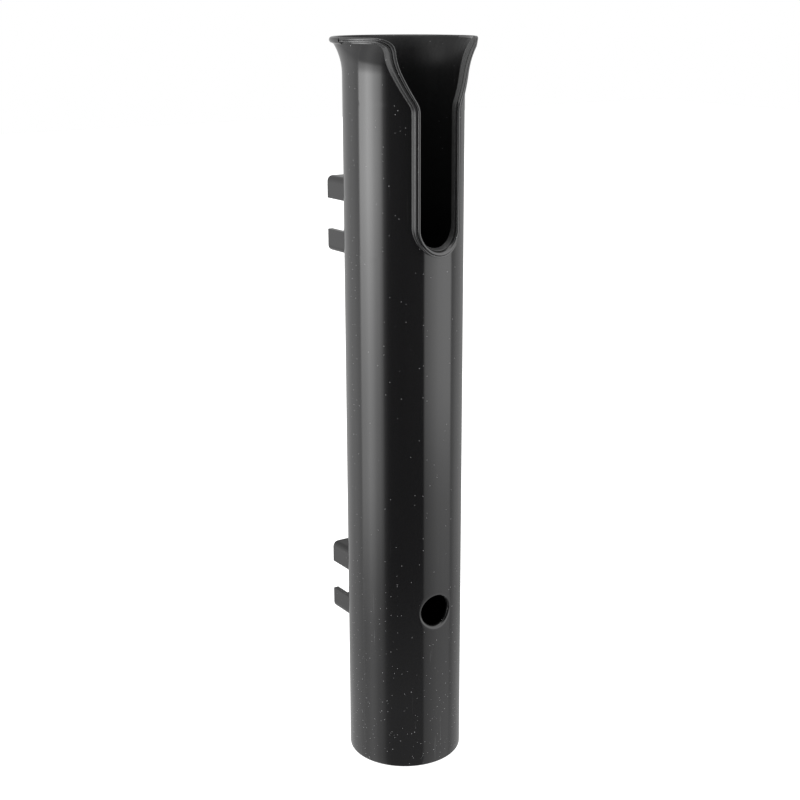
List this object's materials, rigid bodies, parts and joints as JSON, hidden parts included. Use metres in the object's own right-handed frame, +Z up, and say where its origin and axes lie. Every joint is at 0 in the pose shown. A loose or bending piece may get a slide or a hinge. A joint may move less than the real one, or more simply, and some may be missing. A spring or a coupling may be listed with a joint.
{
  "type": "rod holder",
  "caption": "Side-mount fishing rod holder: a long tube with a flared and slotted mouth, a raised edge guard, a butt pad and two bolted stand-off brackets.",
  "frame": {"origin": "at the bottom, under the middle of the object's box; the tube's axis is 4.3 mm in front of it", "axes": "+Z up along the tube, -Y to the slot, +Y to the brackets, +X to the right seen from the front"},
  "size_m": [0.0582, 0.0618, 0.305],
  "materials": {
    "black_plastic": "glossy moulded plastic with fine scratches",
    "black_edging": "satin soft plastic",
    "black_rubber": "matt rubber",
    "stainless_steel": "satin stainless steel"
  },
  "bodies": {
    "root": {"tube_body": "black_plastic", "slot_edge_guard": "black_edging", "butt_pad": "black_rubber", "upper_bracket": "black_plastic", "lower_bracket": "black_plastic", "upper_bracket_bolt": "stainless_steel", "upper_head_washer": "stainless_steel", "upper_nut_washer": "stainless_steel", "upper_lock_nut": "stainless_steel", "lower_bracket_bolt": "stainless_steel", "lower_head_washer": "stainless_steel", "lower_nut_washer": "stainless_steel", "lower_lock_nut": "stainless_steel"}
  },
  "joints": []
}
